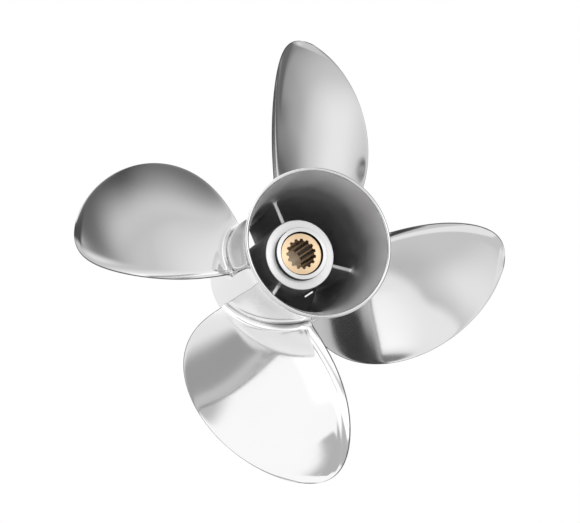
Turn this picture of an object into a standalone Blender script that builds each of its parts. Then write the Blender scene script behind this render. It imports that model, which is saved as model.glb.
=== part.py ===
"""Four-blade outboard propeller with its exhaust through the hub, stood on the forward end of its barrel.

Metres, +Z up. The shaft axis is +Z and points aft, and the origin lies on it at the barrel's forward face.
The propeller is right-handed: seen from aft it turns clockwise, so each blade climbs anticlockwise about +Z.
"""

import math

import bmesh
import bpy
import numpy as np

MM = 0.001
GAP = 0.3 * MM  # between a piece and the one that it sits on
ROUND_STEPS = 96  # facets of every large turned surface
BORE_STEPS = 60  # facets of the turned surfaces near the shaft
MERGE = 0.01 * MM
OVERRUN = 10.0 * MM  # how far a cutter runs past what it cuts
FLAT_ANGLE = 0.01  # radians between faces that are joined into one flat end

# Barrel and flare
BARREL_R = 54.0 * MM
BARREL_WALL = 3.6 * MM
BARREL_BORE_R = BARREL_R - BARREL_WALL
BARREL_TOP = 122.0 * MM
BARREL_CHAMFER = 0.5 * MM
RECESS_R = 51.9 * MM  # recess at the forward end, which laps the gearcase
RECESS_DEPTH = 8.0 * MM
RECESS_END = 10.0 * MM
RIM_TOP = 161.5 * MM
RIM_R = 58.9 * MM
RIM_BORE_R = 56.2 * MM
FLARE_POWER = 2.2  # how late the flare opens
FLARE_RINGS = 7
LIP_SEGMENTS = 4  # facets of the rim's half-round lip

# Inner hub, collar and ribs
HUB_R = 29.5 * MM
HUB_DRAFT = 0.026  # how fast the inner hub widens towards its forward end
HUB_FRONT = 5.0 * MM
HUB_TOP = 97.0 * MM
HUB_BORE_R = 25.0 * MM
THRUST_SEAT_R = 29.0 * MM
THRUST_SEAT_TOP = 17.0 * MM
COLLAR_TOP = 111.4 * MM
COLLAR_CHAMFER = 0.6 * MM
BOSS_TOP = 116.8 * MM
BOSS_R = 21.75 * MM
BOSS_BORE_R = 18.0 * MM
RIB_AZIMUTHS = (8.4, 132.4, 256.6)  # degrees from the first blade's root
RIB_THICKNESS = 3.6 * MM
RIB_FOOT = 3.0 * MM  # how far the rib spreads on each side where it meets the barrel
RIB_FRONT = 15.0 * MM
RIB_TOP = 103.0 * MM
RIB_EDGE = 1.6 * MM  # rounding along the rib's ends
FOOT_SEGMENTS = 3
EDGE_SEGMENTS = 3
ROUND_PROFILE = 0.5  # the bevel profile that gives a round edge

# Splined sleeve and its rubber bush
SLEEVE_R = 17.35 * MM
SLEEVE_FRONT = 14.0 * MM
SLEEVE_TOP = 114.5 * MM
PLAIN_BORE_R = 12.9 * MM
SPLINE_FRONT = 76.0 * MM
SPLINE_CREST_R = 11.0 * MM
SPLINE_ROOT_R = 12.6 * MM
SPLINE_TEETH = 15
SPLINE_SPACE = 0.17  # half a space's width at the root, in tooth pitches
SPLINE_TOOTH = 0.17  # half a tooth's width at the crest, in tooth pitches
SPLINE_REACH = 0.4 * MM  # how far the cutter's teeth stay below the crest circle
BUSH_FRONT = 18.0 * MM
BUSH_TOP = 95.5 * MM

# Blades. A tuple here is a polynomial in the share of the span, lowest power first.
BLADE_COUNT = 4
TIP_R = 178.0 * MM
SPAN = TIP_R - BARREL_R
HALF_WIDTH = (35.2, 7.9, -15.5)  # degrees of half chord, before the tip rounds it
SKEW = (0.0, 0.0, 8.6, 9.8)  # degrees towards the trailing edge
RAKE = (57.0, 57.4, -6.5, 2.9)  # millimetres, how far aft the mid-chord line lies before the skew lifts it
PITCH = (338.7, 295.9, 273.4, -451.4)  # millimetres
ROOT_THICKNESS = 9.5 * MM
TIP_THICKNESS = 2.6 * MM
LEADING_EDGE = 1.3 * MM
TRAILING_EDGE = 2.6 * MM
THICKEST_SHARE = 0.3  # of the chord, the most that a narrow section has
CAMBER = (0.061, -0.058, -0.014)  # of the chord
CAMBER_LEAN = (0.006, -0.019)  # of the chord, deepens the hollow on the trailing side
CUP_HEIGHT = 3.2 * MM  # how far the trailing edge curls aft
CUP_WIDTH = 13.0 * MM
CUP_SHARE = 0.35  # of the chord, the most that the cup takes up
CUP_CHORD = 52.0 * MM  # the cup fades where the chord is under this
FILLET_R = 6.5 * MM
EDGE_FILLET = 0.5  # the fillet's share of its width at the blade's two edges
SPAN_STATIONS = 15
FIRST_STATION = 1.15  # height of the first plain section, in fillet radii
LAST_STATION = 88.5  # degrees of the quarter circle that spaces the sections, 90 at the tip
FILLET_STATIONS = (-0.3, 0.0, 0.08, 0.26, 0.5, 0.85)  # heights above the barrel, in fillet radii
SECTION_POINTS = 32
SHARP_ANGLE = 40.0  # degrees between faces that are shaded apart

# Colour, roughness and metallic value of each finish
FINISHES = {
    "polished_stainless": ((0.78, 0.78, 0.79), 0.12, 1.0),
    "blasted_stainless": ((0.36, 0.36, 0.37), 0.45, 1.0),
    "machined_stainless": ((0.80, 0.81, 0.82), 0.28, 1.0),
    "machined_bronze": ((0.86, 0.66, 0.40), 0.35, 1.0),
    "black_rubber": ((0.02, 0.02, 0.02), 0.7, 0.0),
}


def clear_scene():
    """Empties the startup scene."""
    for old in list(bpy.data.objects):
        bpy.data.objects.remove(old)


def new_collection(name):
    """A collection in the scene."""
    made = bpy.data.collections.new(name)
    bpy.context.scene.collection.children.link(made)
    return made


def new_finish(name, colour, roughness, metallic):
    """A plain Principled material."""
    made = bpy.data.materials.new(name)
    made.use_nodes = True
    shader = made.node_tree.nodes["Principled BSDF"]
    shader.inputs["Base Color"].default_value = (*colour, 1.0)
    shader.inputs["Roughness"].default_value = roughness
    shader.inputs["Metallic"].default_value = metallic
    return made


def add_mesh(name, points, edges, faces, collection, material=None):
    """A mesh object from points, edges and faces."""
    mesh = bpy.data.meshes.new(name)
    mesh.from_pydata(points, edges, faces)
    mesh.update()
    made = bpy.data.objects.new(name, mesh)
    collection.objects.link(made)
    if material:
        mesh.materials.append(material)
    return made


def turned(name, profile, collection, material, steps=ROUND_STEPS):
    """A ring turned about Z from a closed (radius, height) profile that runs down its outer side."""
    points = [(radius, 0.0, height) for radius, height in profile]
    edges = [(i, (i + 1) % len(points)) for i in range(len(points))]
    made = add_mesh(name, points, edges, [], collection, material)
    screw = made.modifiers.new("Turn", "SCREW")
    screw.steps = steps
    screw.render_steps = steps
    screw.use_merge_vertices = True
    screw.merge_threshold = MERGE
    screw.use_smooth_shade = True
    return made


def extruded(name, outline, low, high, collection, material=None):
    """A closed mesh with this (x, y) outline from one height to another, made from a filled 2D curve."""
    curve = bpy.data.curves.new(name, "CURVE")
    curve.dimensions = "2D"
    curve.fill_mode = "BOTH"
    curve.extrude = (high - low) / 2
    line = curve.splines.new("POLY")
    line.points.add(len(outline) - 1)
    for point, (x, y) in zip(line.points, outline):
        point.co = (x, y, 0.0, 1.0)
    line.use_cyclic_u = True
    drawn = bpy.data.objects.new(name, curve)
    drawn.location.z = (high + low) / 2
    collection.objects.link(drawn)
    graph = bpy.context.evaluated_depsgraph_get()
    mesh = bpy.data.meshes.new_from_object(drawn.evaluated_get(graph))
    shape = bmesh.new()
    shape.from_mesh(mesh)
    bmesh.ops.remove_doubles(shape, verts=shape.verts, dist=MERGE)
    bmesh.ops.dissolve_limit(shape, angle_limit=FLAT_ANGLE, verts=shape.verts, edges=shape.edges)
    shape.to_mesh(mesh)
    shape.free()
    placed = drawn.matrix_world.copy()
    bpy.data.objects.remove(drawn)
    made = bpy.data.objects.new(name, mesh)
    made.matrix_world = placed
    collection.objects.link(made)
    if material:
        mesh.materials.append(material)
    return made


def cut(target, cutter):
    """Takes the cutter out of the target."""
    boolean = target.modifiers.new("Cut", "BOOLEAN")
    boolean.operation = "DIFFERENCE"
    boolean.object = cutter
    cutter.hide_render = True
    cutter.display_type = "WIRE"


def flare_share(height):
    """How far the flare has opened at this height: 0 on the barrel, 1 at the rim."""
    share = max(0.0, (height - BARREL_TOP) / (RIM_TOP - BARREL_TOP))
    return share**FLARE_POWER


def add_barrel(collection, material):
    """The outer hub, a straight tube with a recess at its forward end."""
    profile = [
        (BARREL_R, BARREL_TOP),
        (BARREL_R, BARREL_CHAMFER),
        (BARREL_R - BARREL_CHAMFER, 0.0),
        (RECESS_R, 0.0),
        (RECESS_R, RECESS_DEPTH),
        (BARREL_BORE_R, RECESS_END),
        (BARREL_BORE_R, BARREL_TOP),
    ]
    return turned("hub_barrel", profile, collection, material)


def add_flare(collection, material):
    """The diffuser ring, which carries the barrel on and opens to a rounded rim."""
    start = BARREL_TOP + GAP
    lip = (RIM_R - RIM_BORE_R) / 2
    shoulder = RIM_TOP - lip
    heights = np.linspace(shoulder, start, FLARE_RINGS)
    outside = [(BARREL_R + (RIM_R - BARREL_R) * flare_share(z), z) for z in heights]
    inside = [(BARREL_BORE_R + (RIM_BORE_R - BARREL_BORE_R) * flare_share(z), z) for z in heights]
    middle = (outside[0][0] + inside[0][0]) / 2
    half = (outside[0][0] - inside[0][0]) / 2
    angles = np.linspace(math.pi, 0.0, LIP_SEGMENTS + 1)[1:-1]
    rounded = [(middle + half * math.cos(a), shoulder + lip * math.sin(a)) for a in angles]
    return turned("exhaust_flare", outside + inside[::-1] + rounded, collection, material)


def hub_radius(height):
    """The inner hub's outer radius at this height."""
    return HUB_R + HUB_DRAFT * (HUB_TOP - height)


def add_inner_hub(collection, material):
    """The tube round the rubber bush, with a taper at its forward end that seats a thrust washer."""
    profile = [
        (hub_radius(HUB_TOP), HUB_TOP),
        (hub_radius(HUB_FRONT), HUB_FRONT),
        (THRUST_SEAT_R, HUB_FRONT),
        (HUB_BORE_R, THRUST_SEAT_TOP),
        (HUB_BORE_R, HUB_TOP),
    ]
    return turned("inner_hub", profile, collection, material, BORE_STEPS)


def add_collar(collection, material):
    """The machined aft end of the inner hub: a broad shoulder with a raised boss round the sleeve."""
    profile = [
        (BOSS_R, BOSS_TOP),
        (BOSS_R, COLLAR_TOP),
        (HUB_R - COLLAR_CHAMFER, COLLAR_TOP),
        (HUB_R, COLLAR_TOP - COLLAR_CHAMFER),
        (HUB_R, HUB_TOP + GAP),
        (BOSS_BORE_R, HUB_TOP + GAP),
        (BOSS_BORE_R, BOSS_TOP),
    ]
    return turned("aft_collar", profile, collection, material, BORE_STEPS)


def rib_outline():
    """The rib seen along the shaft: a plate whose foot spreads in a quarter round on each side."""
    half = RIB_THICKNESS / 2
    foot = math.sqrt((BARREL_BORE_R - GAP) ** 2 - (half + RIB_FOOT) ** 2)
    upper = [(HUB_BORE_R, half)]
    for angle in np.linspace(0, math.pi / 2, FOOT_SEGMENTS + 1):
        upper.append((foot - RIB_FOOT * (1 - math.sin(angle)), half + RIB_FOOT * (1 - math.cos(angle))))
    return upper + [(x, -y) for x, y in upper[::-1]]


def is_rib_end(edge, foot):
    """Whether an edge of the rib lies across one of its two ends, clear of the foot and the hub."""
    first, second = (vertex.co for vertex in edge.verts)
    reach = max(first.x, second.x)
    return abs(first.z - second.z) < MERGE and HUB_BORE_R + GAP < reach < foot - GAP


def add_rib(number, azimuth, cutter, collection, material):
    """One of the three webs that carry the inner hub in the barrel, with rounded ends."""
    outline = rib_outline()
    made = extruded(f"rib_{number}", outline, RIB_FRONT, RIB_TOP, collection, material)
    foot = max(x for x, _ in outline)
    shape = bmesh.new()
    shape.from_mesh(made.data)
    ends = [edge for edge in shape.edges if is_rib_end(edge, foot)]
    bmesh.ops.bevel(shape, geom=ends, offset=RIB_EDGE, segments=EDGE_SEGMENTS,
                    profile=ROUND_PROFILE, affect="EDGES")
    shape.to_mesh(made.data)
    shape.free()
    made.rotation_euler.z = math.radians(azimuth)
    cut(made, cutter)


def add_hub_cutter(collection):
    """The inner hub's outside with the gap added, which trims the ribs to its taper."""
    top = RIB_TOP + OVERRUN
    profile = [
        (hub_radius(top) + GAP, top),
        (hub_radius(0.0) + GAP, 0.0),
        (BOSS_BORE_R, 0.0),
        (BOSS_BORE_R, top),
    ]
    return turned("cutter_hub", profile, collection, None, BORE_STEPS)


def add_rubber_bush(collection, material):
    """The rubber between the sleeve and the inner hub's bore."""
    inner = SLEEVE_R + GAP
    outer = HUB_BORE_R - GAP
    profile = [(outer, BUSH_TOP), (outer, BUSH_FRONT), (inner, BUSH_FRONT), (inner, BUSH_TOP)]
    return turned("rubber_bush", profile, collection, material, BORE_STEPS)


def spline_outline():
    """The bore's outline through the splines: spaces and teeth in turn, with sloping flanks."""
    step = math.tau / SPLINE_TEETH
    low = SPLINE_CREST_R - SPLINE_REACH
    corners = [
        (low, -SPLINE_TOOTH),
        (low, SPLINE_TOOTH),
        (SPLINE_ROOT_R, 0.5 - SPLINE_SPACE),
        (SPLINE_ROOT_R, 0.5 + SPLINE_SPACE),
    ]
    return [
        (radius * math.cos((tooth + share) * step), radius * math.sin((tooth + share) * step))
        for tooth in range(SPLINE_TEETH)
        for radius, share in corners
    ]


def add_sleeve(collection, cutters, material):
    """The bronze sleeve: splined for the shaft over its aft half and plain forward of that."""
    profile = [
        (SLEEVE_R, SLEEVE_TOP),
        (SLEEVE_R, SLEEVE_FRONT),
        (PLAIN_BORE_R, SLEEVE_FRONT),
        (PLAIN_BORE_R, SPLINE_FRONT),
        (SPLINE_CREST_R, SPLINE_FRONT),
        (SPLINE_CREST_R, SLEEVE_TOP),
    ]
    sleeve = turned("splined_sleeve", profile, collection, material, BORE_STEPS)
    cutter = extruded("cutter_splines", spline_outline(), SPLINE_FRONT - OVERRUN, SLEEVE_TOP + OVERRUN,
                      cutters)
    cut(sleeve, cutter)


def polynomial(values, share):
    """Sum of each value times the share of the span to the power of its place, from 0 on."""
    return sum(value * share**power for power, value in enumerate(values))


def chord_shape(share):
    """Radius, chord, mid-chord angle and height, and pitch angle at a share of the span."""
    radius = BARREL_R + SPAN * share
    half = math.radians(polynomial(HALF_WIDTH, share))
    half *= math.sqrt(max(1 - share**2, 0.0))
    skew = math.radians(polynomial(SKEW, share))
    lead = polynomial(PITCH, share) * MM / math.tau
    height = polynomial(RAKE, share) * MM + lead * skew
    pitch_angle = math.atan2(lead, radius)
    chord = 2 * half * math.hypot(lead, radius)
    return radius, chord, skew, height, pitch_angle


def section(share, fillet):
    """Points round one blade section, wrapped on its cylinder, grown outwards by the fillet's width."""
    plain_share = max(share, 0.0)
    radius, chord, skew, height, pitch_angle = chord_shape(plain_share)
    angles = np.linspace(0, math.tau, SECTION_POINTS, endpoint=False)
    along = np.cos(angles)  # 1 at the trailing edge, -1 at the leading edge
    from_trailing = (1 - along) * chord / 2
    cup_width = min(CUP_WIDTH, CUP_SHARE * chord)
    cup_height = CUP_HEIGHT * min(1.0, chord / CUP_CHORD)
    curl = np.clip(1 - from_trailing / cup_width, 0, 1) ** 2
    bow = polynomial(CAMBER, plain_share) * (1 - along**2)
    bow += polynomial(CAMBER_LEAN, plain_share) * (along - along**3)
    mean = -chord * bow - cup_height * (1 + along) / 2 * (1 - curl)
    thickest = ROOT_THICKNESS + (TIP_THICKNESS - ROOT_THICKNESS) * plain_share
    thickest = min(thickest, THICKEST_SHARE * chord)
    edge = LEADING_EDGE + (TRAILING_EDGE - LEADING_EDGE) * (1 + along) / 2
    edge = np.minimum(edge, thickest)
    half = (edge * np.sqrt(np.abs(np.sin(angles))) + (thickest - edge) * (1 - along**2)) / 2
    c = along * chord / 2
    n = mean + np.sign(np.sin(angles)) * half
    if fillet > 0:
        tangent_c = np.roll(c, -1) - np.roll(c, 1)
        tangent_n = np.roll(n, -1) - np.roll(n, 1)
        spread = fillet * (EDGE_FILLET + (1 - EDGE_FILLET) * np.abs(np.sin(angles)))
        spread = spread / np.hypot(tangent_c, tangent_n)
        c = c + spread * tangent_n
        n = n - spread * tangent_c
    around = c * math.cos(pitch_angle) - n * math.sin(pitch_angle)
    up = c * math.sin(pitch_angle) + n * math.cos(pitch_angle)
    true_radius = BARREL_R + SPAN * share
    turn = skew + around / radius
    return np.column_stack([true_radius * np.cos(turn), true_radius * np.sin(turn), height + up])


def blade_points():
    """All sections from inside the barrel's wall to the tip, as one list of points."""
    rings = []
    for step in FILLET_STATIONS:
        rise = max(step, 0.0)
        grown = FILLET_R * (1 - math.sqrt(1 - (1 - rise) ** 2))
        rings.append(section(step * FILLET_R / SPAN, grown))
    first = math.asin(FIRST_STATION * FILLET_R / SPAN)
    for angle in np.linspace(first, math.radians(LAST_STATION), SPAN_STATIONS):
        rings.append(section(math.sin(angle), 0.0))
    return np.vstack(rings), len(rings)


def blade_mesh(material):
    """The mesh that the four blades share: a loft through the sections, closed at the root and the tip."""
    points, rings = blade_points()
    count = SECTION_POINTS
    faces = []
    for ring in range(0, (rings - 1) * count, count):
        for j in range(count):
            k = (j + 1) % count
            faces.append((ring + j, ring + k, ring + count + k, ring + count + j))
    faces.append(tuple(range(count))[::-1])
    faces.append(tuple(range((rings - 1) * count, rings * count)))
    mesh = bpy.data.meshes.new("blade")
    mesh.from_pydata(points.tolist(), [], faces)
    shape = bmesh.new()
    shape.from_mesh(mesh)
    bmesh.ops.triangulate(shape, faces=shape.faces)
    bmesh.ops.recalc_face_normals(shape, faces=shape.faces)
    shape.to_mesh(mesh)
    shape.free()
    mesh.shade_smooth()
    mesh.set_sharp_from_angle(angle=math.radians(SHARP_ANGLE))
    mesh.materials.append(material)
    return mesh


def add_blade(number, mesh, cutter, collection):
    """One blade, trimmed to the barrel's outside."""
    made = bpy.data.objects.new(f"blade_{number}", mesh)
    made.rotation_euler.z = math.tau / BLADE_COUNT * (number - 1)
    collection.objects.link(made)
    cut(made, cutter)


def add_barrel_cutter(collection):
    """The barrel's outside with the gap added, which trims the blade roots."""
    mesh = bpy.data.meshes.new("cutter_barrel")
    shape = bmesh.new()
    bmesh.ops.create_cone(shape, cap_ends=True, segments=ROUND_STEPS, radius1=BARREL_R + GAP,
                          radius2=BARREL_R + GAP, depth=2 * RIM_TOP)
    shape.to_mesh(mesh)
    shape.free()
    made = bpy.data.objects.new("cutter_barrel", mesh)
    collection.objects.link(made)
    return made


def build():
    """Models the propeller."""
    clear_scene()
    propeller = new_collection("propeller")
    cutters = new_collection("cutters")
    cutters.hide_render = True
    finishes = {name: new_finish(name, *values) for name, values in FINISHES.items()}
    polished = finishes["polished_stainless"]
    blasted = finishes["blasted_stainless"]

    add_barrel(propeller, polished)
    add_flare(propeller, polished)
    add_inner_hub(propeller, blasted)
    add_collar(propeller, finishes["machined_stainless"])
    hub_cutter = add_hub_cutter(cutters)
    for number, azimuth in enumerate(RIB_AZIMUTHS, start=1):
        add_rib(number, azimuth, hub_cutter, propeller, blasted)
    add_rubber_bush(propeller, finishes["black_rubber"])
    add_sleeve(propeller, cutters, finishes["machined_bronze"])
    barrel_cutter = add_barrel_cutter(cutters)
    shared = blade_mesh(polished)
    for number in range(1, BLADE_COUNT + 1):
        add_blade(number, shared, barrel_cutter, propeller)


build()
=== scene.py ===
"""Looks of a four-blade outboard propeller in polished stainless steel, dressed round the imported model.

Metres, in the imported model's frame. The shaft axis is +Z, the barrel's forward face stands on z = 0, and
the flared rim is at the top. Every surface is worked out with numpy from the casting's own sizes.
"""

import logging
import math
from dataclasses import dataclass, replace
from enum import Enum

import bpy
import numpy as np
from mathutils import Euler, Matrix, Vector


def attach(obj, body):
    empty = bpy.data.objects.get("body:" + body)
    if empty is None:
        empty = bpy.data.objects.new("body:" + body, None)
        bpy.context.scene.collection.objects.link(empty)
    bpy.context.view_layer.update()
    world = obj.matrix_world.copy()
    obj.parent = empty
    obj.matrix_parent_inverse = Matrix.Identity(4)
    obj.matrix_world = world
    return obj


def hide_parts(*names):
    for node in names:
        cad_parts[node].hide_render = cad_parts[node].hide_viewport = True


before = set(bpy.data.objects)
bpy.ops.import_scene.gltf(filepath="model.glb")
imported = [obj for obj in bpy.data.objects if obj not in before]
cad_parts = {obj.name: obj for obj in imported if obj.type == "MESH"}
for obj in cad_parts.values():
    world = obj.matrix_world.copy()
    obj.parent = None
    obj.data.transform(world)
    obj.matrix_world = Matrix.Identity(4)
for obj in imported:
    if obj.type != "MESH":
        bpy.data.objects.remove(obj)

MM = 0.001
SUPPORT_SHARE = 0.5  # of a rounding: how far past it a support point lies
LOG = logging.getLogger("propeller")
Material = bpy.types.Material
Node = bpy.types.Node
Tree = bpy.types.NodeTree


class Slot(Enum):
    """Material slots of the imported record."""

    POLISHED = "polished_stainless"
    BLASTED = "blasted_stainless"
    MACHINED = "machined_stainless"
    BRONZE = "machined_bronze"
    RUBBER = "black_rubber"


def linear(code: str) -> tuple[float, float, float, float]:
    """Turns an sRGB hex colour into linear light.

    Args:
        code: Colour such as "#c8c8c6".

    Returns:
        Red, green, blue and an alpha of 1.
    """
    shares = [int(code[i : i + 2], 16) / 255 for i in (1, 3, 5)]
    light = [s / 12.92 if s <= 0.04045 else ((s + 0.055) / 1.055) ** 2.4 for s in shares]
    return light[0], light[1], light[2], 1.0


def add_node(tree: Tree, kind: str, settings: dict | None = None, links: dict | None = None) -> Node:
    """Adds a shader node.

    Args:
        tree: Node tree that takes the node.
        kind: Blender's class name of the node.
        settings: Values by socket name or index, or by the node's own attribute name.
        links: Output sockets by the name or index of the input that they feed.

    Returns:
        The new node.
    """
    node = tree.nodes.new(kind)
    for key, value in (settings or {}).items():
        if isinstance(key, str) and hasattr(node, key):
            setattr(node, key, value)
        else:
            node.inputs[key].default_value = value
    for key, source in (links or {}).items():
        tree.links.new(source, node.inputs[key])
    return node


def new_tree(name: str) -> tuple[Material, Tree]:
    """An empty node material.

    Args:
        name: The finish's name.

    Returns:
        The material and its cleared node tree.
    """
    made = bpy.data.materials.new(name)
    made.use_nodes = True
    made.node_tree.nodes.clear()
    return made, made.node_tree


@dataclass(frozen=True)
class GrainedFinish:
    """A cast, ground or moulded surface whose gloss and relief vary a little from place to place.

    The marks are noise on Object coordinates, stretched by `stretch`, so a turned or drawn surface can have
    long marks along one direction. Two noises multiplied mostly lie between `noise_low` and `noise_high`.
    """

    name: str
    colour: str
    worn_colour: str
    roughness: float
    roughness_spread: float
    grain_mm: float
    relief_mm: float
    patch_mm: float
    stretch: tuple[float, float, float] = (1.0, 1.0, 1.0)
    metallic: float = 1.0
    painted_light_colour: str = ""
    painted_light_mm: tuple[float, float] = (0.0, 0.0)
    noise_low: float = 0.1
    noise_high: float = 0.4

    def material(self) -> Material:
        """Builds the finish. With a painted light colour, the tint passes into it between the two heights,
        so painted light pales the surface towards the top.

        Returns:
            The material, with its colour, roughness and bump worked out by nodes.
        """
        made, tree = new_tree(self.name)
        place = add_node(tree, "ShaderNodeTexCoord").outputs["Object"]
        turned = add_node(tree, "ShaderNodeMapping", {"Scale": self.stretch}, {"Vector": place})
        grain = add_node(
            tree,
            "ShaderNodeTexNoise",
            {"Scale": 1 / (self.grain_mm * MM), "Detail": 3.0, "Roughness": 0.6},
            {"Vector": turned.outputs["Vector"]},
        )
        patches = add_node(
            tree,
            "ShaderNodeTexNoise",
            {"Scale": 1 / (self.patch_mm * MM), "Detail": 2.0, "Roughness": 0.5},
            {"Vector": place},
        )
        tint = add_node(
            tree,
            "ShaderNodeMix",
            {"data_type": "RGBA", 6: linear(self.colour), 7: linear(self.worn_colour)},
            {0: patches.outputs["Fac"]},
        )
        # Painted light: between the two heights the colour pales into the painted light colour.
        if self.painted_light_colour:
            height = add_node(tree, "ShaderNodeSeparateXYZ", links={"Vector": place})
            way = add_node(
                tree,
                "ShaderNodeMapRange",
                {
                    "interpolation_type": "SMOOTHSTEP",
                    "From Min": self.painted_light_mm[0] * MM,
                    "From Max": self.painted_light_mm[1] * MM,
                },
                {"Value": height.outputs["Z"]},
            )
            tint = add_node(
                tree,
                "ShaderNodeMix",
                {"data_type": "RGBA", 7: linear(self.painted_light_colour)},
                {0: way.outputs["Result"], 6: tint.outputs[2]},
            )
        both = add_node(
            tree,
            "ShaderNodeMath",
            {"operation": "MULTIPLY"},
            {0: grain.outputs["Fac"], 1: patches.outputs["Fac"]},
        )
        gloss = add_node(
            tree,
            "ShaderNodeMapRange",
            {
                "From Min": self.noise_low,
                "From Max": self.noise_high,
                "To Min": self.roughness - self.roughness_spread,
                "To Max": self.roughness + self.roughness_spread,
            },
            {"Value": both.outputs["Value"]},
        )
        bump = add_node(
            tree,
            "ShaderNodeBump",
            {"Strength": 1.0, "Distance": self.relief_mm * MM},
            {"Height": grain.outputs["Fac"]},
        )
        shader = add_node(
            tree,
            "ShaderNodeBsdfPrincipled",
            {"Metallic": self.metallic},
            {
                "Base Color": tint.outputs[2],
                "Roughness": gloss.outputs["Result"],
                "Normal": bump.outputs["Normal"],
            },
        )
        add_node(tree, "ShaderNodeOutputMaterial", links={"Surface": shader.outputs["BSDF"]})
        return made


@dataclass(frozen=True)
class TurnedFinish:
    """A lathe-turned metal face, whose fine rings round the shaft spread the gloss across themselves.

    The tangent runs along the rings, and the spread is a quarter turn from it.
    """

    name: str
    colour: str
    roughness: float
    pitch_mm: float
    relief_mm: float
    roughness_share: float = 0.2
    spread: float = 0.9
    spread_turn: float = 0.25

    def material(self) -> Material:
        """Builds the finish.

        Returns:
            The material, whose rings follow the distance from the shaft axis.
        """
        made, tree = new_tree(self.name)
        place = add_node(tree, "ShaderNodeTexCoord").outputs["Object"]
        flat = add_node(tree, "ShaderNodeVectorMath", {"operation": "MULTIPLY", 1: (1, 1, 0)}, {0: place})
        radius = add_node(
            tree, "ShaderNodeVectorMath", {"operation": "LENGTH"}, {0: flat.outputs["Vector"]}
        ).outputs["Value"]
        rings = add_node(
            tree,
            "ShaderNodeTexNoise",
            {"noise_dimensions": "1D", "Scale": 1 / (self.pitch_mm * MM), "Detail": 2.0},
            {"W": radius},
        )
        gloss = add_node(
            tree,
            "ShaderNodeMapRange",
            {
                "To Min": self.roughness * (1 - self.roughness_share),
                "To Max": self.roughness * (1 + self.roughness_share),
            },
            {"Value": rings.outputs["Fac"]},
        )
        bump = add_node(
            tree,
            "ShaderNodeBump",
            {"Strength": 1.0, "Distance": self.relief_mm * MM},
            {"Height": rings.outputs["Fac"]},
        )
        round_axis = add_node(tree, "ShaderNodeTangent", {"direction_type": "RADIAL", "axis": "Z"})
        shader = add_node(
            tree,
            "ShaderNodeBsdfPrincipled",
            {
                "Metallic": 1.0,
                "Base Color": linear(self.colour),
                "Anisotropic": self.spread,
                "Anisotropic Rotation": self.spread_turn,
            },
            {
                "Roughness": gloss.outputs["Result"],
                "Normal": bump.outputs["Normal"],
                "Tangent": round_axis.outputs["Tangent"],
            },
        )
        add_node(tree, "ShaderNodeOutputMaterial", links={"Surface": shader.outputs["BSDF"]})
        return made


# Cast 17-4 stainless, ground and buffed on a mop: a cold mirror with the faintest haze.
MIRROR = GrainedFinish(
    name="mirror_polished_cast_stainless",
    colour="#cdcdcd",
    worn_colour="#d1d1d1",
    roughness=0.08,
    roughness_spread=0.02,
    grain_mm=3.0,
    relief_mm=0.0004,
    patch_mm=45.0,
)
# The same casting inside, shot blasted: dark satin with a fine pebble grain, and painted light that pales
# it towards the rim, where more light comes in.
BLASTED = GrainedFinish(
    name="shot_blasted_cast_stainless",
    colour="#c6c6c7",
    worn_colour="#d6d6d7",
    roughness=0.52,
    roughness_spread=0.07,
    grain_mm=0.9,
    relief_mm=0.03,
    patch_mm=14.0,
    # Painted light: the bore pales towards the rim between these heights.
    painted_light_colour="#edeef0",
    painted_light_mm=(126.0, 160.0),
)
# A blade's edge, dressed with a flap wheel: a thin dark grey line between two mirrors.
DRESSED = GrainedFinish(
    name="flap_dressed_stainless",
    colour="#5c5c5d",
    worn_colour="#6c6c6d",
    roughness=0.34,
    roughness_spread=0.06,
    grain_mm=0.5,
    relief_mm=0.004,
    patch_mm=9.0,
)
# A rib's aft edge, which faces the open rim: a paler matt grey of painted light that stands out in the dark
# passage.
RIB_EDGE_LIGHT = GrainedFinish(
    name="painted_light_rib_edge",
    colour="#d6d6d6",
    worn_colour="#e2e2e2",
    roughness=0.55,
    roughness_spread=0.08,
    grain_mm=0.5,
    relief_mm=0.01,
    patch_mm=7.0,
)
# Faced on a lathe: bright, with a sheen that passes from sector to sector round the shaft.
FACED = TurnedFinish(
    name="lathe_faced_stainless", colour="#d0d0d0", roughness=0.3, pitch_mm=0.35, relief_mm=0.002
)
# Turned bronze: warm gold, softly glossy.
BRONZE = TurnedFinish(
    name="turned_bronze", colour="#dec3a1", roughness=0.32, pitch_mm=0.4, relief_mm=0.002
)
# The same bronze where the broach has cut it: darker and browner, painted shade of the deep bore, with
# marks drawn along the shaft.
BROACHED_SHADED = GrainedFinish(
    name="broached_bronze_painted_shade",
    colour="#ac9678",
    worn_colour="#bca586",
    roughness=0.3,
    roughness_spread=0.06,
    grain_mm=0.6,
    relief_mm=0.004,
    patch_mm=6.0,
    stretch=(1.0, 1.0, 0.1),
)
# Painted shade in the grooves between the teeth: nearly black, with a brown sheen.
GROOVE_SHADE = replace(BROACHED_SHADED, name="painted_shade_bronze_groove", colour="#2c2316", worn_colour="#3a2f1e")
# Painted shade on the boss's side and in its bore: a matt black line round the boss, where the step lies in
# shadow.
BOSS_SHADE = GrainedFinish(
    name="painted_shade_boss_side",
    colour="#1d1d1e",
    worn_colour="#2a2a2b",
    roughness=0.5,
    roughness_spread=0.08,
    grain_mm=0.4,
    relief_mm=0.01,
    patch_mm=5.0,
)
# Moulded nitrile rubber: matt black with a grey bloom.
RUBBER = GrainedFinish(
    name="moulded_nitrile_rubber",
    colour="#1c1c1c",
    worn_colour="#262626",
    roughness=0.7,
    roughness_spread=0.05,
    grain_mm=0.6,
    relief_mm=0.02,
    patch_mm=8.0,
    metallic=0.0,
)


def polynomial(values: tuple[float, ...], share: float) -> float:
    """Sum of each value times the share to the power of its place, from 0 on."""
    return sum(value * share**power for power, value in enumerate(values))


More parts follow.
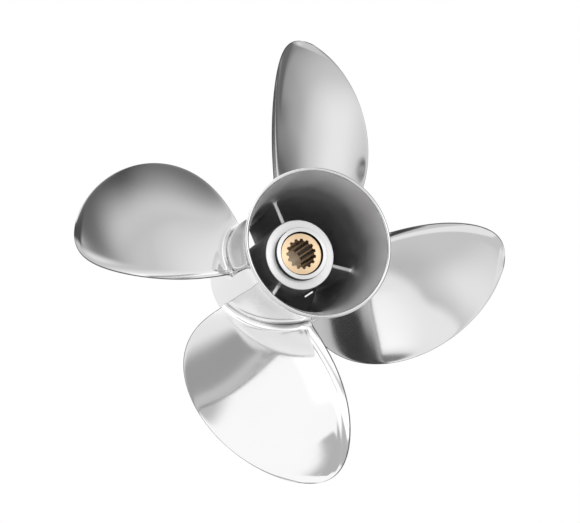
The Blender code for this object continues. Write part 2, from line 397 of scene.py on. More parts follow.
def add_surface(
    name: str, grid: np.ndarray, materials: list[Material], caps: bool = False, ring: bool = False
) -> bpy.types.Object:
    """Makes a closed mesh from a grid of points whose columns run round the piece.

    Each row joins its own end to its start. The rows are closed by a pole at each end, or joined to each
    other as a torus. The faces are turned outwards by the sign of the volume that they enclose, which is
    the sum over the faces of one sixth of the triple product of their corners.

    Args:
        name: Name of the piece.
        grid: Points as an array of rows, columns and xyz.
        materials: The piece's finishes.
        caps: Whether a pole closes each end.
        ring: Whether the last row joins the first.

    Returns:
        The new object, shaded smooth.
    """
    rows, columns, _ = grid.shape
    index = np.arange(rows * columns).reshape(rows, columns)
    right = np.roll(index, -1, axis=1)
    quads = np.stack([index, right, np.roll(right, -1, axis=0), np.roll(index, -1, axis=0)], axis=-1)
    if not ring:
        quads = quads[:-1]
    quads = quads.reshape(-1, 4)
    points = grid.reshape(-1, 3)
    fans = np.zeros((0, 3), int)
    if caps:
        first, last = rows * columns, rows * columns + 1
        points = np.vstack([points, grid[0].mean(axis=0), grid[-1].mean(axis=0)])
        start = np.stack([right[0], index[0], np.full(columns, first)], axis=-1)
        end = np.stack([index[-1], right[-1], np.full(columns, last)], axis=-1)
        fans = np.vstack([start, end])
    triangles = np.vstack([quads[:, [0, 1, 2]], quads[:, [0, 2, 3]], fans])
    a, b, c = (points[triangles[:, i]] for i in range(3))
    if np.einsum("ij,ij->i", a, np.cross(b, c)).sum() < 0:
        quads, fans = quads[:, ::-1], fans[:, ::-1]
    mesh = bpy.data.meshes.new(name)
    mesh.from_pydata(points.tolist(), [], quads.tolist() + fans.tolist())
    mesh.shade_smooth()
    for material in materials:
        mesh.materials.append(material)
    made = bpy.data.objects.new(name, mesh)
    bpy.context.scene.collection.objects.link(made)
    return made


def place_piece(piece: bpy.types.Object, nodes: list[str]) -> None:
    """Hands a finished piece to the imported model.

    Args:
        piece: The finished piece.
        nodes: Solids that it stands for.
    """
    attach(piece, "root")
    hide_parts(*nodes)
    LOG.info("%s: %d faces, stands for %s", piece.name, len(piece.data.polygons), ", ".join(nodes))


def rounded(
    corners: list[tuple[float, float, float]], steps: int = 6, closed: bool = True
) -> np.ndarray:
    """Rounds the corners of a profile.

    Each corner becomes the arc that touches both of its sides, with a support point a little way past each
    end of the arc, so that the shading of a long straight side stays flat.

    Args:
        corners: Radius, height and rounding of each corner, in order round the profile.
        steps: Facets of each arc.
        closed: Whether the last corner joins the first. Otherwise these two only give a direction.

    Returns:
        Radius and height of each point.
    """
    at = np.array([(r, z) for r, z, _ in corners])
    points = []
    turning = range(len(corners)) if closed else range(1, len(corners) - 1)
    for i in turning:
        rounding = corners[i][2]
        here = at[i]
        back = at[i - 1] - here
        ahead = at[(i + 1) % len(at)] - here
        back /= np.linalg.norm(back)
        ahead /= np.linalg.norm(ahead)
        half = math.acos(np.clip(back @ ahead, -1, 1)) / 2
        reach = rounding / math.tan(half)
        middle = back + ahead
        middle *= rounding / math.sin(half) / np.linalg.norm(middle)
        swing = math.pi / 2 - half
        axis = -middle / np.linalg.norm(middle)
        side = np.array([-axis[1], axis[0]])
        if side @ back < 0:
            side = -side
        turns = np.linspace(swing, -swing, steps + 1)
        arc = here + middle + rounding * (np.outer(np.cos(turns), axis) + np.outer(np.sin(turns), side))
        support = SUPPORT_SHARE * rounding
        points += [here + back * (reach + support), *arc, here + ahead * (reach + support)]
    return np.array(points)


def revolve(profile: np.ndarray, columns: int) -> np.ndarray:
    """Turns a profile about Z: point (r, z) goes to (r cos t, r sin t, z) at each of the equal angles t.

    Args:
        profile: Radius and height of each point.
        columns: How many angles.

    Returns:
        The grid of points.
    """
    turn = np.linspace(0, math.tau, columns, endpoint=False)
    radius, height = profile[:, 0, None], profile[:, 1, None]
    return np.stack([radius * np.cos(turn), radius * np.sin(turn), height + 0 * turn], axis=-1)


@dataclass
class BarrelCasting:
    """The outer hub, a tube that opens into the exhaust flare: polished outside, blasted inside."""

    radius: float = 54.0 * MM
    bore: float = 50.4 * MM
    flare_start: float = 122.0 * MM
    top: float = 161.5 * MM
    rim: float = 58.9 * MM
    rim_bore: float = 56.2 * MM
    flare_power: float = 2.2
    recess: float = 51.9 * MM
    recess_depth: float = 8.0 * MM
    recess_end: float = 10.0 * MM
    edge: float = 0.5 * MM
    columns: int = 384
    flare_rows: int = 40
    lip_rows: int = 12

    def flare(self, height: np.ndarray, low: float, high: float) -> np.ndarray:
        """Radius of the wall at each height, which rises from low to high as a power of the way up."""
        way = np.clip((height - self.flare_start) / (self.top - self.flare_start), 0, 1)
        return low + (high - low) * way**self.flare_power

    def profile(self) -> tuple[np.ndarray, int]:
        """The wall's section, down the outside and up the inside.

        Returns:
            Radius and height of each point, and the number of the first point that is inside the lip.
        """
        lip = (self.rim - self.rim_bore) / 2
        shoulder = self.top - lip
        heights = np.linspace(shoulder, self.flare_start, self.flare_rows)
        outside = np.stack([self.flare(heights, self.radius, self.rim), heights], axis=-1)
        rise = heights[::-1]
        inside = np.stack([self.flare(rise, self.bore, self.rim_bore), rise], axis=-1)
        foot = rounded(
            [
                (self.radius, self.flare_start, 0.0),
                (self.radius, 0.0, self.edge),
                (self.recess, 0.0, self.edge),
                (self.recess, self.recess_depth, self.edge),
                (self.bore, self.recess_end, self.edge),
                (self.bore, self.flare_start, 0.0),
            ],
            closed=False,
        )
        middle = (outside[0, 0] + inside[-1, 0]) / 2
        half = (outside[0, 0] - inside[-1, 0]) / 2
        turn = np.linspace(math.pi, 0, self.lip_rows + 1)[1:-1]
        over = np.stack([middle + half * np.cos(turn), shoulder + lip * np.sin(turn)], axis=-1)
        walls = np.vstack([outside, foot, inside])
        return np.vstack([walls, over]), len(outside) + len(foot) // 2

    def build(self) -> None:
        """Makes the barrel, with the blasted finish on every face inside the lip."""
        profile, first_inside = self.profile()
        grid = revolve(profile, self.columns)
        piece = add_surface("barrel_casting", grid, [MIRROR.material(), BLASTED.material()], ring=True)
        last_inside = len(profile) - self.lip_rows + 1
        rows = np.repeat(np.arange(len(profile)), self.columns)
        inside = (rows >= first_inside) & (rows < last_inside)
        piece.data.polygons.foreach_set("material_index", inside.astype(np.int32))
        place_piece(piece, ["hub_barrel", "exhaust_flare"])


@dataclass
class Blades:
    """The four blades, each a loft of cambered sections wrapped on cylinders round the shaft.

    Half width, skew, rake, pitch and camber are polynomials in the share of the span, lowest power first.
    The half width, in degrees round the shaft, is also multiplied by the root of one minus the share
    squared, which rounds the tip. The fillet keeps the share `edge_fillet` of its width at the edges.
    """

    material: Material
    edge_material: Material
    count: int = 4
    barrel: float = 54.0 * MM
    span: float = 124.0 * MM
    half_width: tuple[float, ...] = (35.2, 7.9, -15.5)
    skew: tuple[float, ...] = (0.0, 0.0, 8.6, 9.8)
    rake: tuple[float, ...] = (57.0, 57.4, -6.5, 2.9)
    pitch: tuple[float, ...] = (338.7, 295.9, 273.4, -451.4)
    camber: tuple[float, ...] = (0.061, -0.058, -0.014)
    camber_lean: tuple[float, ...] = (0.006, -0.019)
    root_thickness: float = 9.5 * MM
    tip_thickness: float = 2.6 * MM
    thickest_share: float = 0.3
    leading_edge: float = 1.3 * MM
    trailing_edge: float = 2.6 * MM
    cup_height: float = 3.2 * MM
    cup_width: float = 13.0 * MM
    cup_share: float = 0.35
    cup_chord: float = 52.0 * MM
    fillet: float = 6.5 * MM
    edge_fillet: float = 0.5
    edge_crowding: float = 0.35
    dressed: float = 0.9 * MM
    skirt: float = 2.0 * MM
    skirt_drop: float = 0.01 * MM
    core_depth: float = 2.0 * MM
    columns: int = 192
    core_rows: int = 8
    fillet_rows: int = 16
    fillet_crowding: float = 1.5
    span_rows: int = 90
    tip_degrees: float = 89.6

    def section(self, reach: float, grown: float, shrink: float = 1.0) -> np.ndarray:
        """Points round one section.

        The mean line is a parabola of the camber's height, with the last part of the chord curled aft by
        the cup. The half thickness is a parabola on top of a blunt edge, and the fillet moves each point
        outwards along the outline's normal.

        Args:
            reach: Distance out from the barrel.
            grown: How far the fillet widens the section here.
            shrink: Share of its size that the section keeps.

        Returns:
            The section's points, closed from the last to the first.
        """
        share = max(reach, 0.0) / self.span
        radius = self.barrel + self.span * share
        half_turn = math.radians(polynomial(self.half_width, share))
        half_turn *= math.sqrt(max(1 - share**2, 0.0))
        skew = math.radians(polynomial(self.skew, share))
        lead = polynomial(self.pitch, share) * MM / math.tau
        height = polynomial(self.rake, share) * MM + lead * skew
        pitch_angle = math.atan2(lead, radius)
        chord = 2 * half_turn * math.hypot(lead, radius)

        even = np.linspace(0, math.tau, self.columns, endpoint=False)
        turn = even - self.edge_crowding * np.sin(2 * even)
        along = np.cos(turn)
        from_trailing = (1 - along) * chord / 2
        cup_width = min(self.cup_width, self.cup_share * chord)
        cup_height = self.cup_height * min(1.0, chord / self.cup_chord)
        curl = np.clip(1 - from_trailing / cup_width, 0, 1) ** 2
        bow = polynomial(self.camber, share) * (1 - along**2)
        bow += polynomial(self.camber_lean, share) * (along - along**3)
        mean = -chord * bow - cup_height * (1 + along) / 2 * (1 - curl)
        thickest = self.root_thickness + (self.tip_thickness - self.root_thickness) * share
        thickest = min(thickest, self.thickest_share * chord)
        edge = self.leading_edge + (self.trailing_edge - self.leading_edge) * (1 + along) / 2
        edge = np.minimum(edge, thickest)
        half = (edge * np.sqrt(np.abs(np.sin(turn))) + (thickest - edge) * (1 - along**2)) / 2
        c = along * chord / 2
        n = mean + np.sign(np.sin(turn)) * half
        if grown > 0:
            dc = np.roll(c, -1) - np.roll(c, 1)
            dn = np.roll(n, -1) - np.roll(n, 1)
            spread = grown * (self.edge_fillet + (1 - self.edge_fillet) * np.abs(np.sin(turn)))
            spread = spread / np.hypot(dc, dn)
            c, n = c + spread * dn, n - spread * dc
        c, n = c * shrink, n * shrink
        around = c * math.cos(pitch_angle) - n * math.sin(pitch_angle)
        up = c * math.sin(pitch_angle) + n * math.cos(pitch_angle)
        angle = skew + around / radius
        true_radius = self.barrel + reach
        return np.stack([true_radius * np.cos(angle), true_radius * np.sin(angle), height + up], axis=-1)

    def grid(self) -> np.ndarray:
        """All sections from inside the barrel's wall to the tip.

        The root fillet is a quarter circle: at angle t it stands 1 - cos t of its radius above the barrel
        and spreads 1 - sin t of it to each side. A skirt carries its foot on just under the barrel, and
        shrinking sections close the root along the middle of the barrel's wall.

        Returns:
            The grid of points, a section in each row.
        """
        wide = self.fillet + self.skirt
        sizes = np.linspace(0, 1, self.core_rows + 1)[1:]
        rings = [self.section(-self.core_depth, wide, size) for size in sizes]
        rings.append(self.section(-self.skirt_drop, wide))
        for turn in math.pi / 2 * np.linspace(0, 1, self.fillet_rows) ** self.fillet_crowding:
            rise, spread = self.fillet * (1 - math.cos(turn)), self.fillet * (1 - math.sin(turn))
            rings.append(self.section(rise, spread))
        first = math.asin(self.fillet / self.span)
        for turn in np.linspace(first, math.radians(self.tip_degrees), self.span_rows + 1)[1:]:
            rings.append(self.section(self.span * math.sin(turn), 0.0))
        return np.stack(rings)

    def edges(self, grid: np.ndarray) -> np.ndarray:
        """Finds the faces along a blade's edge, by the distance from each point to its section's two noses.

        Args:
            grid: The blade's points.

        Returns:
            1 for each face along the edge and 0 for the others.
        """
        noses = grid[:, [0, self.columns // 2]]
        near = np.linalg.norm(grid[:, :, None] - noses[:, None], axis=-1).min(axis=-1) < self.dressed
        radius = np.hypot(grid[:, :1, 0], grid[:, :1, 1])
        near &= radius > self.barrel + self.edge_fillet * self.fillet
        near |= radius > self.barrel + self.span - self.dressed
        poles = np.arange(2 * self.columns) >= self.columns
        return np.append(near[:-1].ravel(), poles).astype(np.int32)

    def build(self) -> None:
        """Makes the four blades, each turned by its share of a full turn."""
        grid = self.grid()
        edge = self.edges(grid)
        for number in range(self.count):
            turn = math.tau * number / self.count
            spin = np.array([[math.cos(turn), math.sin(turn)], [-math.sin(turn), math.cos(turn)]])
            turned = grid.copy()
            turned[..., :2] = grid[..., :2] @ spin
            piece = add_surface(
                f"blade_casting_{number + 1}", turned, [self.material, self.edge_material], caps=True
            )
            piece.data.polygons.foreach_set("material_index", edge)
            place_piece(piece, [f"blade_{number + 1}"])


@dataclass
class InnerHub:
    """The tube round the rubber bush, its three ribs and its machined aft end."""

    radius: float = 29.5 * MM
    draft: float = 0.026
    front: float = 5.0 * MM
    top: float = 97.0 * MM
    bore: float = 25.0 * MM
    thrust_seat: float = 29.0 * MM
    thrust_seat_top: float = 17.0 * MM
    collar_top: float = 111.4 * MM
    boss_top: float = 116.8 * MM
    boss: float = 21.75 * MM
    boss_bore: float = 18.0 * MM
    joint: float = 0.03 * MM
    joint_edge: float = 0.1 * MM
    edge: float = 0.4 * MM
    collar_edge: float = 0.7 * MM
    barrel_bore: float = 50.4 * MM
    rib_azimuths: tuple[float, float, float] = (8.4, 132.4, 256.6)
    rib_thickness: float = 3.6 * MM
    rib_bite: float = 0.9 * MM
    rib_squareness: float = 0.6
    rib_front: float = 15.0 * MM
    rib_top: float = 103.0 * MM
    hub_fillet: float = 2.0 * MM
    barrel_fillet: float = 3.5 * MM
    columns: int = 256
    rib_rows: int = 14
    rib_columns: int = 64

    def outside(self, height: np.ndarray) -> np.ndarray:
        """The hub's outer radius at each height, which the draft widens towards the front."""
        return self.radius + self.draft * np.maximum(self.top - height, 0.0)

    def build_tube(self, material: Material) -> None:
        """Makes the tube.

        Args:
            material: Its as-cast finish.
        """
        wide = float(self.outside(np.array(self.front)))
        profile = rounded(
            [
                (self.radius, self.top, self.joint_edge),
                (wide, self.front, self.edge),
                (self.thrust_seat, self.front, self.edge),
                (self.bore, self.thrust_seat_top, self.edge),
                (self.bore, self.top, self.edge),
            ]
        )
        piece = add_surface("inner_hub_casting", revolve(profile, self.columns), [material], ring=True)
        place_piece(piece, ["inner_hub"])

    def build_collar(self, turned: Material, boss_shade: Material) -> None:
        """Makes the machined aft end, a broad shoulder with a raised boss round the sleeve.

        Args:
            turned: Its turned finish.
            boss_shade: Painted black shade on the boss's side and in its bore.
        """
        base = self.top + self.joint
        profile = rounded(
            [
                (self.boss, self.boss_top, self.edge),
                (self.boss, self.collar_top, self.edge),
                (self.radius, self.collar_top, self.collar_edge),
                (self.radius, base, self.joint_edge),
                (self.boss_bore, base, self.edge),
                (self.boss_bore, self.boss_top, self.edge),
            ]
        )
        piece = add_surface("machined_collar", revolve(profile, self.columns), [turned, boss_shade], ring=True)
        # The boss's side and its bore take the painted black shade.
        side = np.abs(profile[:, 0] - self.boss) < self.edge / 2
        side |= np.abs(profile[:, 0] - self.boss_bore) < self.edge / 2
        piece.data.polygons.foreach_set("material_index", np.repeat(side.astype(np.int32), self.columns))
        place_piece(piece, ["aft_collar"])

    def rib_grid(self, azimuth: float) -> np.ndarray:
        """One rib, a loft of upright sections from the hub to the barrel.

        Each section is a slot with rounded ends in the plane across the rib. Its width and height follow
        the cosine and the sine of the turn, raised to a power that squares the ends. It widens along a
        quarter circle towards both walls, so that the rib runs smoothly into them, and bites a little into
        each.

        Args:
            azimuth: The rib's direction in degrees.

        Returns:
            The grid of points, a section in each row.
        """
        reach = self.barrel_bore - self.radius
        inner = np.linspace(0, math.pi / 2, self.rib_rows)
        near_hub = self.hub_fillet * (1 - np.cos(inner))
        near_barrel = reach - self.barrel_fillet * (1 - np.cos(inner[::-1]))
        out = np.concatenate([[-self.rib_bite], near_hub, near_barrel, [reach + self.rib_bite]])
        grown = np.concatenate(
            [
                [self.hub_fillet],
                self.hub_fillet * (1 - np.sin(inner)),
                self.barrel_fillet * (1 - np.sin(inner[::-1])),
                [self.barrel_fillet],
            ]
        )
        turn = np.linspace(0, math.tau, self.rib_columns, endpoint=False)
        half = self.rib_thickness / 2
        waves = np.stack([np.cos(turn), np.sin(turn)])
        cos, sin = np.sign(waves) * np.abs(waves) ** self.rib_squareness
        upper = sin > 0
        middle = np.where(upper, self.rib_top - half, self.rib_front + half)
        width = (half + grown[:, None]) * cos[None, :]
        height = middle[None, :] + (half + grown[:, None]) * sin[None, :]
        share = (out / reach)[:, None]
        hub = self.outside(height)
        radius = hub + (self.barrel_bore - hub) * share
        angle = math.radians(azimuth) + width / radius
        return np.stack([radius * np.cos(angle), radius * np.sin(angle), height], axis=-1)

    def build_ribs(self, cast: Material, edge_light: Material) -> None:
        """Makes the three ribs.

        Args:
            cast: Their as-cast finish.
            edge_light: Painted light on their aft edges, a paler grey.
        """
        for number, azimuth in enumerate(self.rib_azimuths, start=1):
            grid = self.rib_grid(azimuth)
            piece = add_surface(f"rib_casting_{number}", grid, [cast, edge_light], caps=True)
            # The aft edges, which face the rim, take the paler grey of painted light.
            aft = (grid[:-1, :, 2] > self.rib_top - self.rib_thickness / 2).ravel()
            ends = np.zeros(2 * self.rib_columns, bool)
            piece.data.polygons.foreach_set("material_index", np.append(aft, ends).astype(np.int32))
            place_piece(piece, [f"rib_{number}"])


@dataclass
class ShaftFitting:
    """The splined bronze sleeve and the rubber bush that grips it."""

    radius: float = 17.35 * MM
    front: float = 14.0 * MM
    top: float = 114.5 * MM
    plain_bore: float = 12.9 * MM
    spline_front: float = 76.0 * MM
    crest: float = 11.0 * MM
    root: float = 12.6 * MM
    teeth: int = 15
    land: float = 0.17
    edge: float = 0.4 * MM
    lead_in: float = 0.5 * MM
    hub_bore: float = 25.0 * MM
    bush_front: float = 18.0 * MM
    bush_top: float = 95.5 * MM
    joint: float = 0.03 * MM
    sharp_degrees: float = 38.0
    columns_per_tooth: int = 24
    columns: int = 256

    def spline_radius(self, pitches: np.ndarray) -> np.ndarray:
        """Radius of the bore at each angle.

        It is the crest's over a land each side of a whole tooth pitch and the root's over a land each side
        of the next half pitch. Between them it follows half a cosine wave.

        Args:
            pitches: Angles in tooth pitches.

        Returns:
            The radius at each.
        """
        off = np.abs(pitches - np.round(pitches))
        flank = np.clip((off - self.land) / (0.5 - 2 * self.land), 0, 1)
        return self.crest + (self.root - self.crest) * (1 - np.cos(math.pi * flank)) / 2

    def build_sleeve(self, turned: Material, broached_shaded: Material, groove_shade: Material) -> None:
        """Makes the sleeve, whose rows run down the outside and up through the bore.

        Args:
            turned: Finish of its outside and its ends.
            broached_shaded: Finish of its bore, the bronze darkened by painted shade.
            groove_shade: Painted shade at the bottoms of the grooves.
        """
        turn = np.linspace(0, math.tau, self.teeth * self.columns_per_tooth, endpoint=False)
        profile = rounded(
            [
                (self.radius, self.top, self.edge),
                (self.radius, self.front, self.edge),
                (self.plain_bore, self.front, self.edge),
                (self.plain_bore, self.spline_front, self.edge),
                (self.crest, self.spline_front, self.edge),
                (self.crest, self.top, self.lead_in),
            ]
        )
        radius, height = profile[:, 0, None], profile[:, 1, None]
        splined = radius < self.crest + 2 * self.lead_in
        toothed = self.spline_radius(turn * self.teeth / math.tau)
        radius = radius + splined * (toothed - self.crest)
        grid = np.stack([radius * np.cos(turn), radius * np.sin(turn), height + 0 * turn], axis=-1)
        piece = add_surface("bronze_sleeve", grid, [turned, broached_shaded, groove_shade], ring=True)
        # The bore takes the bronze darkened by painted shade.
        bored = (profile[:, 0] < self.plain_bore + self.edge) & (profile[:, 1] < self.top - self.lead_in)
        # Painted shade: the bottoms of the grooves take the nearly black finish.
        groove = splined & (toothed > (self.crest + self.root) / 2)
        finish = bored[:, None] * (1 + groove)
        piece.data.polygons.foreach_set("material_index", finish.ravel().astype(np.int32))
        piece.data.set_sharp_from_angle(angle=math.radians(self.sharp_degrees))
        place_piece(piece, ["splined_sleeve"])

    def build_bush(self, material: Material) -> None:
        """Makes the rubber bush.

        Args:
            material: Its rubber finish.
        """
        inner, outer = self.radius + self.joint, self.hub_bore - self.joint
        profile = rounded(
            [
                (outer, self.bush_top, self.edge),
                (outer, self.bush_front, self.edge),
                (inner, self.bush_front, self.edge),
                (inner, self.bush_top, self.edge),
            ]
        )
        piece = add_surface("rubber_bush_moulding", revolve(profile, self.columns), [material], ring=True)
        place_piece(piece, ["rubber_bush"])


def lay_patch(
    tree: Tree,
    below: bpy.types.NodeSocket,
    place: bpy.types.NodeSocket,
    half: tuple[float, float],
    softness: float,
    radiance: float,
) -> bpy.types.NodeSocket:
    """Lays a soft-edged patch of one brightness over what is below it.

    Args:
        tree: Node tree of the sky or the floor.
        below: Brightness so far.
        place: Vector from the patch's centre, with nothing along Z.
        half: Half sizes of the patch's full-strength part.
        softness: Width of its fading border.
        radiance: Its brightness.

    Returns:
        The brightness with the patch on top.
    """
    folded = add_node(tree, "ShaderNodeVectorMath", {"operation": "ABSOLUTE"}, {0: place})
    outside = add_node(
        tree,
        "ShaderNodeVectorMath",
        {"operation": "SUBTRACT", 1: (*half, 0)},
        {0: folded.outputs["Vector"]},
    )
    beyond = add_node(
        tree,
        "ShaderNodeVectorMath",
        {"operation": "MAXIMUM", 1: (0, 0, 0)},
        {0: outside.outputs["Vector"]},
    )
    distance = add_node(
        tree, "ShaderNodeVectorMath", {"operation": "LENGTH"}, {0: beyond.outputs["Vector"]}
    )
    share = add_node(
        tree,
        "ShaderNodeMapRange",
        {"interpolation_type": "SMOOTHSTEP", "From Max": softness, "To Min": 1.0, "To Max": 0.0},
        {"Value": distance.outputs["Value"]},
    )
    mixed = add_node(
        tree, "ShaderNodeMix", {"data_type": "FLOAT", 3: radiance}, {0: share.outputs["Result"], 2: below}
    )
    return mixed.outputs[0]


def hide_from_camera(tree: Tree, light: bpy.types.NodeSocket) -> bpy.types.NodeSocket:
    """Gives the camera's own rays plain white and leaves the light that falls on the object as it is."""
    path = add_node(tree, "ShaderNodeLightPath")
    mixed = add_node(
        tree,
        "ShaderNodeMix",
        {"data_type": "FLOAT", 3: 1.0},
        {0: path.outputs["Is Camera Ray"], 2: light},
    )
    return mixed.outputs[0]


@dataclass(frozen=True)
class SkyPanel:
    """A soft light or a dark flag, placed by the direction in which the propeller sees it.

    Every size and angle is in degrees. The roll turns the panel anticlockwise, as seen from behind it with
    the zenith up.
    """

    azimuth: float
    elevation: float
    roll: float
    half: tuple[float, float]
    softness: float
    radiance: float

    def lay(
        self, tree: Tree, below: bpy.types.NodeSocket, direction: bpy.types.NodeSocket
    ) -> bpy.types.NodeSocket:
        """Lays the panel over the sky so far.

        Each direction is measured from the panel's centre as two angles, across and up.

        Args:
            tree: The sky's node tree.
            below: Brightness so far.
            direction: Direction of the sky.

        Returns:
            The brightness with the panel.
        """
        panel = Euler([0, -math.radians(self.elevation), math.radians(self.azimuth)]).to_matrix()
        out, aside, up = (Vector(column) for column in panel.transposed())
        cos, sin = math.cos(math.radians(self.roll)), math.sin(math.radians(self.roll))
        axes = [out, aside * cos + up * sin, up * cos - aside * sin]
        ahead, across, along = (
            add_node(tree, "ShaderNodeVectorMath", {"operation": "DOT_PRODUCT", 1: axis}, {0: direction})
            for axis in axes
        )
        angles = [
            add_node(
                tree,
                "ShaderNodeMath",
                {"operation": "ARCTAN2"},
                {0: part.outputs["Value"], 1: ahead.outputs["Value"]},
            ).outputs["Value"]
            for part in (across, along)
        ]
        place = add_node(tree, "ShaderNodeCombineXYZ", links={"X": angles[0], "Y": angles[1]})
        half = math.radians(self.half[0]), math.radians(self.half[1])
        softness = math.radians(self.softness)
        return lay_patch(tree, below, place.outputs["Vector"], half, softness, self.radiance)


@dataclass(frozen=True)
class FloorPatch:
    """A lit pool or a shaded part of the floor."""

    centre: tuple[float, float]
    turn: float
    half: tuple[float, float]
    softness: float
    radiance: float

    def lay(
        self, tree: Tree, below: bpy.types.NodeSocket, place: bpy.types.NodeSocket
    ) -> bpy.types.NodeSocket:
        """Lays the patch over the floor so far.

        Args:
            tree: The floor's node tree.
            below: Brightness so far.
            place: Place on the floor.

        Returns:
            The brightness with the patch.
        """
        local = add_node(
            tree,
            "ShaderNodeMapping",
            {
                "vector_type": "TEXTURE",
                "Location": (*self.centre, 0),
                "Rotation": (0, 0, math.radians(self.turn)),
            },
            {"Vector": place},
        )
        return lay_patch(tree, below, local.outputs["Vector"], self.half, self.softness, self.radiance)


# Around the propeller, as it sees it. The room is light grey, and each light or flag covers those before.
# The comments say where the mirror of the blades shows them from the camera.
ROOM = 0.87
SKY_PANELS = (
    # A light in the middle of the left blade, and a low flag in the right blade's dark corner.
    SkyPanel(42.4, 8.2, -60.0, (7.1, 20.1), 18.0, 2.00),
    SkyPanel(-0.6, -13.0, -17.0, (30.7, 5.3), 15.4, 0.14),
    # The strip light in the right half of the top blade.
    SkyPanel(-18.8, 13.7, 41.0, (11.9, 1.4), 18.8, 1.26),
    # The wide flag that greys the left half of the top blade and the middle of the left blade.
    SkyPanel(54.0, 23.7, 34.0, (38.2, 7.8), 27.8, 0.21),
    # Lights and one flag in the upper half of the right blade.
    SkyPanel(-92.1, 57.4, -37.0, (0.5, 21.7), 13.7, 1.20),
    SkyPanel(-76.3, -2.7, -23.0, (6.9, 39.1), 2.1, 1.23),
    SkyPanel(-114.4, 24.9, -43.0, (12.6, 3.1), 20.6, 0.58),
    SkyPanel(-109.1, 22.0, -42.0, (26.4, 9.0), 1.7, 1.24),
    # The large light that whitens the bottom blade.
    SkyPanel(131.8, 21.9, -32.0, (27.0, 30.4), 18.6, 1.51),
    # Low lights in the bottom blade's upper right and in the lower side of the barrel.
    SkyPanel(-175.0, 8.0, -5.0, (31.0, 11.0), 5.0, 1.9),
    SkyPanel(-135.0, 4.3, 0.0, (8.0, 3.0), 1.2, 2.0),
    # Flags at the bottom blade's tip.
    SkyPanel(174.8, 47.6, -26.0, (13.0, 13.0), 2.5, 0.7),
    SkyPanel(167.5, 34.0, 0.0, (4.0, 6.0), 2.0, 0.7),
    SkyPanel(177.5, 27.0, 0.0, (6.0, 13.0), 2.5, 0.72),
    # A small flag at the bottom blade's lower left edge.
    SkyPanel(118.8, 16.4, 41.0, (2.1, 6.3), 4.4, 0.75),
    # Lights in the lower half of the right blade.
    SkyPanel(-127.6, 41.6, 23.0, (6.1, 8.1), 4.4, 1.25),
    SkyPanel(-125.1, 32.9, 62.0, (0.7, 11.1), 7.2, 1.91),
    # The flag in the left blade's upper left.
    SkyPanel(62.1, 18.1, -37.0, (2.6, 7.3), 15.2, 0.11),
    # Flags in the right blade's dark corner.
    SkyPanel(-52.0, -17.0, 0.0, (16.0, 8.0), 4.0, 0.1),
    SkyPanel(-145.3, 44.6, 0.0, (2.0, 2.0), 1.2, 0.25),
    # The overhead strip, which the turned faces square to the shaft spread into two bright sectors.
    SkyPanel(55.0, 69.0, 64.0, (28.0, 5.0), 6.0, 2.0),
)
# The floor is nearly white, and each pool or shade covers those before.
FLOOR = 0.98
FLOOR_PATCHES = (
    # Lit pools in the left blade's lower right and the bottom blade's upper left.
    FloorPatch((-0.62, -0.54), 69.0, (0.69, 0.79), 0.51, 1.31),
    FloorPatch((-0.50, 0.05), 34.0, (0.31, 0.21), 0.13, 1.96),
    # The shade that greys the bottom blade's left side.
    FloorPatch((-0.16, -0.12), 0.0, (0.01, 0.06), 0.06, 0.81),
    # Dark ground in the top blade's left edge and the right blade's corner.
    FloorPatch((1.17, 0.24), 51.0, (0.49, 0.73), 0.16, 0.17),
    FloorPatch((0.97, -0.17), 22.0, (0.75, 0.17), 0.05, 0.04),
    # The dark line along the left blade's lower edge.
    FloorPatch((-0.09, 0.13), 0.0, (0.02, 0.01), 0.02, 0.51),
    # The right blade's dark corner.
    FloorPatch((0.36, -0.38), 0.0, (0.13, 0.14), 0.02, 0.08),
    # The pool in the barrel's lower left.
    FloorPatch((-0.05, -0.045), 0.0, (0.03, 0.025), 0.02, 1.12),
)
# Light that reaches the shaded floor inside the barrel's foot: past the hub on the left, in a sliver on the
# right, and down the sleeve.
FOOT_SPOTS = (
    FloorPatch((-26.0 * MM, 31.0 * MM), 0.0, (8.0 * MM, 9.0 * MM), 1.0 * MM, 1.0),
    FloorPatch((47.0 * MM, 1.5 * MM), 53.0, (4.5 * MM, 0.2 * MM), 0.9 * MM, 1.0),
    FloorPatch((0.0, 0.0), 0.0, (12.0 * MM, 12.0 * MM), 2.0 * MM, 0.9),
)


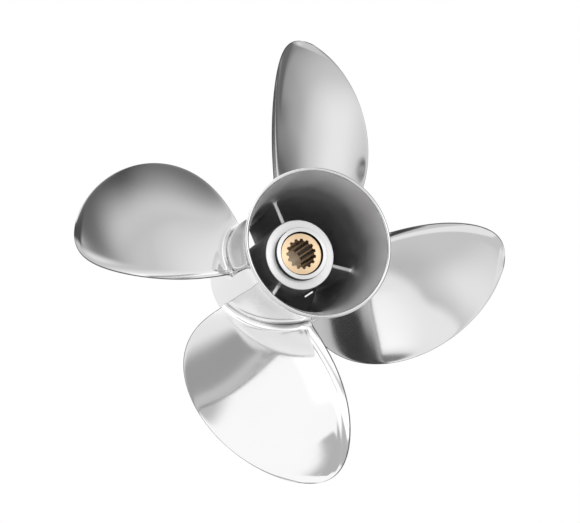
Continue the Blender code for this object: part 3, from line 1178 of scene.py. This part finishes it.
@dataclass
class Studio:
    """The camera, the pale floor and the soft light."""

    spot: tuple[float, float, float] = (-121.71 * MM, -170.13 * MM, 636.01 * MM)
    turn: tuple[float, float, float] = (11.842, -17.107, 18.926)
    lens: float = 42.594
    sensor: float = 36.0
    floor_radius: float = 0.95
    floor_sides: int = 64
    fade_from: float = 0.35
    fade_to: float = 0.9
    shade_radius: float = 53.0 * MM
    shade: float = 0.02

    def build_camera(self) -> None:
        """Places the camera where the photograph's perspective puts it."""
        data = bpy.data.cameras.new("camera")
        data.lens = self.lens
        data.sensor_width = self.sensor
        data.sensor_fit = "HORIZONTAL"
        camera = bpy.data.objects.new("camera", data)
        camera.location = self.spot
        camera.rotation_euler = Euler([math.radians(angle) for angle in self.turn])
        bpy.context.scene.collection.objects.link(camera)
        bpy.context.scene.camera = camera

    def build_floor(self) -> None:
        """Makes the floor, a pale sheet that is lit evenly outside the barrel and in shade inside its foot.

        Away from the propeller the sheet fades into the room, so no horizon shows in the mirror faces.
        """
        made, tree = new_tree("pale_floor")
        place = add_node(tree, "ShaderNodeTexCoord").outputs["Object"]
        light = add_node(tree, "ShaderNodeValue").outputs["Value"]
        light.default_value = FLOOR
        for patch in FLOOR_PATCHES:
            light = patch.lay(tree, light, place)
        light = hide_from_camera(tree, light)
        off = add_node(tree, "ShaderNodeVectorMath", {"operation": "LENGTH"}, {0: place}).outputs["Value"]
        inside = add_node(
            tree, "ShaderNodeMath", {"operation": "LESS_THAN", 1: self.shade_radius}, {0: off}
        )
        shaded = add_node(
            tree,
            "ShaderNodeMix",
            {"data_type": "FLOAT", 3: self.shade},
            {0: inside.outputs["Value"], 2: light},
        )
        light = shaded.outputs[0]
        for spot in FOOT_SPOTS:
            light = spot.lay(tree, light, place)
        glow = add_node(tree, "ShaderNodeEmission", links={"Strength": light})
        clear = add_node(tree, "ShaderNodeBsdfTransparent")
        fade = add_node(
            tree,
            "ShaderNodeMapRange",
            {"interpolation_type": "SMOOTHSTEP", "From Min": self.fade_from, "From Max": self.fade_to},
            {"Value": off},
        )
        sheet = add_node(
            tree,
            "ShaderNodeMixShader",
            links={0: fade.outputs["Result"], 1: glow.outputs["Emission"], 2: clear.outputs["BSDF"]},
        )
        add_node(tree, "ShaderNodeOutputMaterial", links={"Surface": sheet.outputs["Shader"]})
        turn = np.linspace(0, math.tau, self.floor_sides, endpoint=False)
        points = self.floor_radius * np.stack([np.cos(turn), np.sin(turn), 0 * turn], axis=-1)
        mesh = bpy.data.meshes.new("floor")
        mesh.from_pydata(points.tolist(), [], [list(range(len(points)))])
        mesh.materials.append(made)
        floor = bpy.data.objects.new("floor", mesh)
        bpy.context.scene.collection.objects.link(floor)

    def build_light(self) -> None:
        """Surrounds the propeller with soft light, by direction."""
        world = bpy.data.worlds.new("studio")
        bpy.context.scene.world = world
        world.use_nodes = True
        tree = world.node_tree
        tree.nodes.clear()
        direction = add_node(tree, "ShaderNodeTexCoord").outputs["Generated"]
        light = add_node(tree, "ShaderNodeValue").outputs["Value"]
        light.default_value = ROOM
        for panel in SKY_PANELS:
            light = panel.lay(tree, light, direction)
        light = hide_from_camera(tree, light)
        sky = add_node(tree, "ShaderNodeBackground", {"Color": (1, 1, 1, 1)}, {"Strength": light})
        add_node(tree, "ShaderNodeOutputWorld", links={"Surface": sky.outputs["Background"]})
        bpy.context.scene.view_settings.view_transform = "Standard"


def main() -> None:
    """Builds the propeller and its studio."""
    logging.basicConfig(level=logging.INFO, format="%(name)s: %(message)s")
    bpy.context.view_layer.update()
    studio = Studio()
    studio.build_camera()
    studio.build_floor()
    studio.build_light()
    BarrelCasting().build()
    Blades(MIRROR.material(), DRESSED.material()).build()
    hub = InnerHub()
    blasted = BLASTED.material()
    hub.build_tube(blasted)
    hub.build_ribs(blasted, RIB_EDGE_LIGHT.material())
    hub.build_collar(FACED.material(), BOSS_SHADE.material())
    fitting = ShaftFitting()
    fitting.build_sleeve(BRONZE.material(), BROACHED_SHADED.material(), GROOVE_SHADE.material())
    fitting.build_bush(RUBBER.material())


if __name__ == "__main__":
    main()
